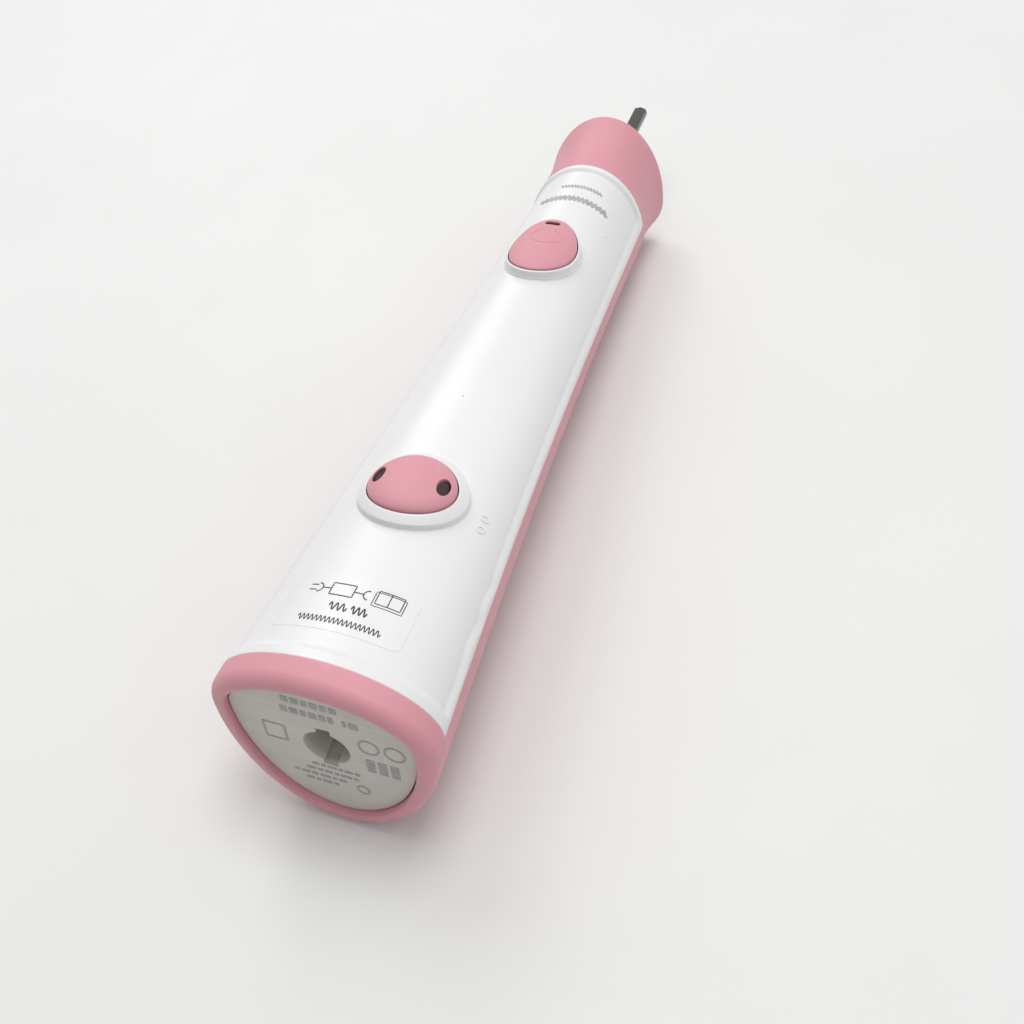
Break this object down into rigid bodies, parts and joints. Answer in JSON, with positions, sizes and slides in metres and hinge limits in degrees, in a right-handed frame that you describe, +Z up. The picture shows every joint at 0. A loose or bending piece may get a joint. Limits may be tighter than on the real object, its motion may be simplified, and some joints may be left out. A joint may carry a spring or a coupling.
{
  "type": "electric toothbrush handle",
  "caption": "Slender tapered electric toothbrush handle with soft grip, framed push buttons, a swinging steel drive shaft and a keyed charging socket in its base.",
  "frame": {"origin": "middle of the bounding box, on the surface that the handle lies on", "axes": "+Z up from that surface; +Y along the handle from the base towards the brush end; +X to the right seen from the front. The handle lies on its back, tipped nose-down by 3.02 degrees, so its own axis is (0, 0.9986, -0.0526)"},
  "size_m": [0.0366, 0.1932, 0.0378],
  "materials": {
    "pink_soft": "satin soft-touch elastomer",
    "white_gloss": "glossy moulded plastic",
    "cap_grey": "fine matt moulded plastic",
    "smoke_window": "smoked light window",
    "shaft_steel": "dark polished steel",
    "steel": "stamped and turned steel",
    "inner_plastic": "plain moulded plastic",
    "board_green": "solder mask",
    "component_dark": "epoxy case",
    "led_clear": "clear epoxy",
    "copper_wire": "enamelled copper wire",
    "bronze": "sintered bronze",
    "cell_sleeve": "printed shrink sleeve",
    "magnet": "nickel-plated magnet",
    "seal_rubber": "matt rubber",
    "seal_grey": "silicone rubber"
  },
  "bodies": {
    "root": {"housing": "white_gloss", "soft_grip": "pink_soft", "neck_collar": "pink_soft", "base_ring": "pink_soft", "end_cap": "cap_grey", "end_cap_seal": "seal_rubber", "power_bezel": "white_gloss", "mode_bezel": "white_gloss", "circuit_board": "board_green", "controller_chip": "component_dark", "board_components": "component_dark", "indicator_leds": "led_clear", "power_switch": "steel", "mode_switch": "steel", "board_screws": "steel", "chassis": "inner_plastic", "battery": "cell_sleeve", "battery_tabs": "steel", "battery_pad": "seal_rubber", "coil_bobbin": "inner_plastic", "charging_coil": "copper_wire", "drive_frame": "steel", "frame_screws": "steel", "stator_core": "steel", "drive_coil": "copper_wire", "rear_bearing": "bronze", "front_bearing": "bronze", "torsion_rod": "steel", "nose_cone": "white_gloss", "nose_seal": "seal_rubber", "shaft_seal": "seal_grey", "seal_retainer": "white_gloss"},
    "power_button": {"power_button": "pink_soft", "power_light_window": "smoke_window", "power_plunger": "inner_plastic"},
    "mode_button": {"mode_button": "pink_soft", "mode_light_windows": "smoke_window", "mode_plunger": "inner_plastic"},
    "brush_drive": {"drive_shaft": "shaft_steel", "magnet_carrier": "steel", "drive_magnets": "magnet"}
  },
  "joints": [
    {"name": "power_press", "type": "slide", "parent": "root", "child": "power_button", "axis": [0, -0.0526, -0.9986], "range_m": [0, 0.0006], "stiffness_N_per_m": 300, "springref_m": -0.0005},
    {"name": "mode_press", "type": "slide", "parent": "root", "child": "mode_button", "axis": [0, -0.0526, -0.9986], "range_m": [0, 0.0006], "stiffness_N_per_m": 300, "springref_m": -0.0005},
    {"name": "shaft_swing", "type": "hinge", "parent": "root", "child": "brush_drive", "pos_m": [0, 0.0256, 0.01702], "axis": [0, 0.9986, -0.0526], "range_deg": [-6, 6], "stiffness_Nm_per_rad": 0.005}
  ]
}
